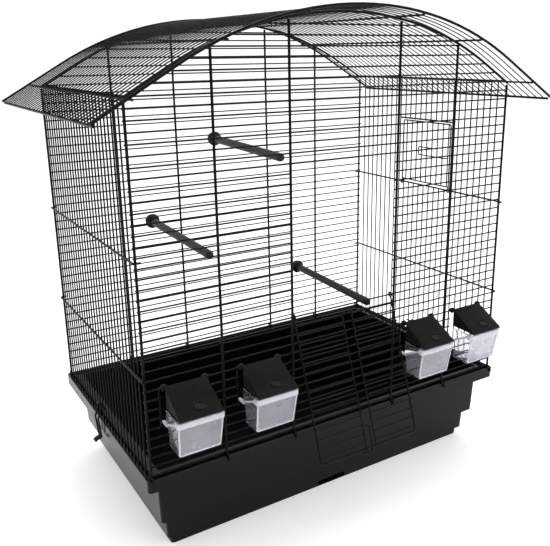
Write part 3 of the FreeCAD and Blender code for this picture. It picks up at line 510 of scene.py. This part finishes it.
def cup_side(bm, side):
    """A rim along the falling edge, a thin wing above it, and a peg behind."""
    rim_front = -CUP_MOUTH.y + 4.0
    rim = [(0.0, CUP_BACK_HEIGHT - 1.1), (rim_front, CUP_HEIGHT - 2.6)]
    path = [Vector((side * SIDE_RIM_OUT, y, z)) for y, z in rim]
    # the rim's faces are painted milky white as a highlight
    highlight_faces = sweep(bm, path, rounded(2.2, 2.6, 0.8, 3), ACROSS)

    wing = [(-31.5, 41.5), (-31.5, CUP_HEIGHT), (-0.5, CUP_HEIGHT + 0.9), (-0.5, 27.0)]
    plate(bm, [(side * (SIDE_RIM_OUT - 0.1), y, z) for y, z in wing], (-side * 1.0, 0, 0), 0.3)

    peg = [(-2.0, 1.2), (-1.7, 1.7), (-1.0, 1.9), (9.0, 1.9), (9.7, 1.6), (10.0, 0.9)]
    turned = lathe(bm, peg, count=20)
    for vert in {vert for face in turned for vert in face.verts}:
        vert.co += Vector((side * PEG_OUT, 0.0, CUP_BACK_HEIGHT - 1.5))
    return highlight_faces + turned


def make_cup(number):
    """Clear cup: a leaning front with a border bead, a lip band, side rims and pegs, these painted milky
    white as highlights.
    """
    bm = bmesh.new()
    cup_wall(bm)
    highlight_faces = cup_border(bm) + cup_lip(bm)
    for side in (-1, 1):
        highlight_faces += cup_side(bm, side)
    # border, lip, side rims and pegs are painted milky white as highlights
    paint(highlight_faces, PAINTED_HIGHLIGHT)

    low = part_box(f"feeder_{number}_cup")[0]
    middle = HINGES[f"hood_{number}_hinge"].x
    place = Matrix.Translation((middle, low[1] + LIP_DEPTH * MM, low[2]))
    name = f"cup_{number}_shell"
    show(name, bm, place, f"cup_{number}", CUP_FINISH, f"feeder_{number}_cup")


# ---------------------------------------------------------------- perches

# a perch is drawn along Y, with the face of its head disc that meets the wall on Y = 0
PERCH_RADIUS = 5.5
PERCH_HEAD = 10.5
PERCH_END = -194.0
SCREW_RADIUS = 2.0
SCREW_END = 13.0
PERCH_DROOP = math.radians(1.8)


def make_perch(number):
    """Fluted perch with a rounded end, a head disc with a collar, and its screw."""
    bm = bmesh.new()
    screw = [(SCREW_END, 1.4), (SCREW_END - 0.5, SCREW_RADIUS), (-1.0, SCREW_RADIUS)]
    lathe(bm, screw, count=20)
    head = [(0.0, 8.5), (0.0, 9.9), (-0.5, 10.4), (-1.3, PERCH_HEAD), (-2.2, 10.3)]
    head += [(-3.2, 9.2), (-3.9, 7.6), (-4.1, 6.6), (-5.2, 6.2)]
    lathe(bm, head)
    rod = [(-3.0, PERCH_RADIUS), (PERCH_END + 5.5, PERCH_RADIUS)]
    for before, radius in ((3.6, 5.3), (2.0, 4.7), (0.8, 3.6), (0.2, 2.2), (0.0, 0.8)):
        rod.append((PERCH_END + before, radius))
    lathe(bm, rod, flutes=12, depth=0.45, count=96)

    # the CAD piece's box ends at the screw's tip and at the top of the head disc
    low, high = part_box(f"perch_{number}")
    tip = SCREW_END * math.cos(PERCH_DROOP) + SCREW_RADIUS * math.sin(PERCH_DROOP)
    top = PERCH_HEAD * math.cos(PERCH_DROOP)
    corner = Vector(((low[0] + high[0]) / 2, high[1] - tip * MM, high[2] - top * MM))
    place = Matrix.Translation(corner) @ Matrix.Rotation(PERCH_DROOP, 4, "X")
    finish = [MATERIALS["perch_plastic"]]
    show(f"perch_{number}_turning", bm, place, "cage", finish, f"perch_{number}")


def round_tray_edges():
    """Moulded edges on the tray, which otherwise shows its CAD mesh."""
    edges = frame["nodes"]["base_tray"].modifiers.new("moulded_edges", "BEVEL")
    edges.width = 0.9 * MM
    edges.segments = 3
    edges.limit_method = "ANGLE"
    edges.angle_limit = math.radians(40)


for number in (1, 2, 3, 4):
    make_hood(number)
    make_cup(number)
for number in (1, 2, 3):
    make_perch(number)
round_tray_edges()


# ---------------------------------------------------------------- camera, floor and light

CAMERA_PLACE = Vector((-0.4715, -0.7972, 0.5502))
CAMERA_AZIMUTH = math.radians(-32.45)
CAMERA_ELEVATION = math.radians(15.92)
CAMERA_ROLL = math.radians(-0.51)
FLOOR_REACH = 6.0
# strengths of emission and of the world's light
FLOOR_GLOW = 0.35
BACKDROP = 1.12
FRONT_LIGHT = 0.35
TOP_LIGHT = 1.15


def make_camera():
    """The camera, to the left of the cage's front and a little above it."""
    data = bpy.data.cameras.new("camera")
    data.sensor_width = 36.0
    data.lens = 45.92
    data.shift_x = -0.0456
    data.shift_y = -0.0361
    data.clip_start = 0.01
    data.clip_end = 50.0
    camera = bpy.data.objects.new("camera", data)
    turn = Matrix.Rotation(CAMERA_AZIMUTH, 4, "Z")
    turn = turn @ Matrix.Rotation(math.pi / 2 - CAMERA_ELEVATION, 4, "X")
    turn = turn @ Matrix.Rotation(CAMERA_ROLL, 4, "Z")
    camera.matrix_world = Matrix.Translation(CAMERA_PLACE) @ turn
    bpy.context.scene.collection.objects.link(camera)
    bpy.context.scene.camera = camera


def area_light(name, place, target, width, height, power):
    """A rectangular lamp at a place, turned to a target. power is in watts."""
    data = bpy.data.lights.new(name, "AREA")
    data.shape = "RECTANGLE"
    data.size = width
    data.size_y = height
    data.energy = power
    light = bpy.data.objects.new(name, data)
    light.location = place
    light.rotation_mode = "QUATERNION"
    light.rotation_quaternion = (Vector(target) - Vector(place)).to_track_quat("-Z", "Y")
    bpy.context.scene.collection.objects.link(light)


def make_floor():
    """A white floor that glows a little, so that only a soft shadow is left on it."""
    mesh = bpy.data.meshes.new("floor")
    corners = [(x * FLOOR_REACH, y * FLOOR_REACH, 0) for x, y in ((-1, -1), (1, -1), (1, 1), (-1, 1))]
    mesh.from_pydata(corners, [], [(0, 1, 2, 3)])
    floor = bpy.data.objects.new("floor", mesh)
    material, tree, shader = new_material("floor")
    place = object_position(tree)
    tint(tree, shader, noise(tree, place, 3.0), (0.90, 0.90, 0.90), (0.92, 0.92, 0.92))
    shader.inputs["Roughness"].default_value = 0.6
    shader.inputs["Emission Color"].default_value = (1.0, 1.0, 1.0, 1.0)
    shader.inputs["Emission Strength"].default_value = FLOOR_GLOW
    mesh.materials.append(material)
    bpy.context.scene.collection.objects.link(floor)


def make_world():
    """A white studio. Its light comes mostly from above and behind the object."""
    world = bpy.data.worlds.new("studio")
    world.use_nodes = True
    tree = world.node_tree
    white = tree.nodes["Background"]
    white.inputs["Color"].default_value = (1.0, 1.0, 1.0, 1.0)
    white.inputs["Strength"].default_value = BACKDROP
    softbox = tree.nodes.new("ShaderNodeBackground")
    softbox.inputs["Color"].default_value = (0.985, 0.985, 1.0, 1.0)
    towards = tree.nodes.new("ShaderNodeVectorMath")
    towards.operation = "DOT_PRODUCT"
    towards.inputs[1].default_value = (0.0, 0.55, 0.835)
    tree.links.new(tree.nodes.new("ShaderNodeTexCoord").outputs["Generated"], towards.inputs[0])
    strength = spread(tree, towards.outputs["Value"], FRONT_LIGHT, TOP_LIGHT, -0.3, 0.7)
    tree.links.new(strength, softbox.inputs["Strength"])
    mix = tree.nodes.new("ShaderNodeMixShader")
    tree.links.new(tree.nodes.new("ShaderNodeLightPath").outputs["Is Camera Ray"], mix.inputs["Fac"])
    tree.links.new(softbox.outputs["Background"], mix.inputs[1])
    tree.links.new(white.outputs["Background"], mix.inputs[2])
    tree.links.new(mix.outputs["Shader"], tree.nodes["World Output"].inputs["Surface"])
    bpy.context.scene.world = world


make_camera()
make_floor()
make_world()
area_light("top", (0.5, 0.9, 2.2), target=(0.0, 0.0, 0.1), width=1.6, height=1.6, power=14.0)
area_light("front_fill", (0.5, -1.5, 1.0), target=(0.1, -0.5, 0.0), width=1.2, height=0.8, power=8.0)
bpy.context.scene.view_settings.view_transform = "Standard"
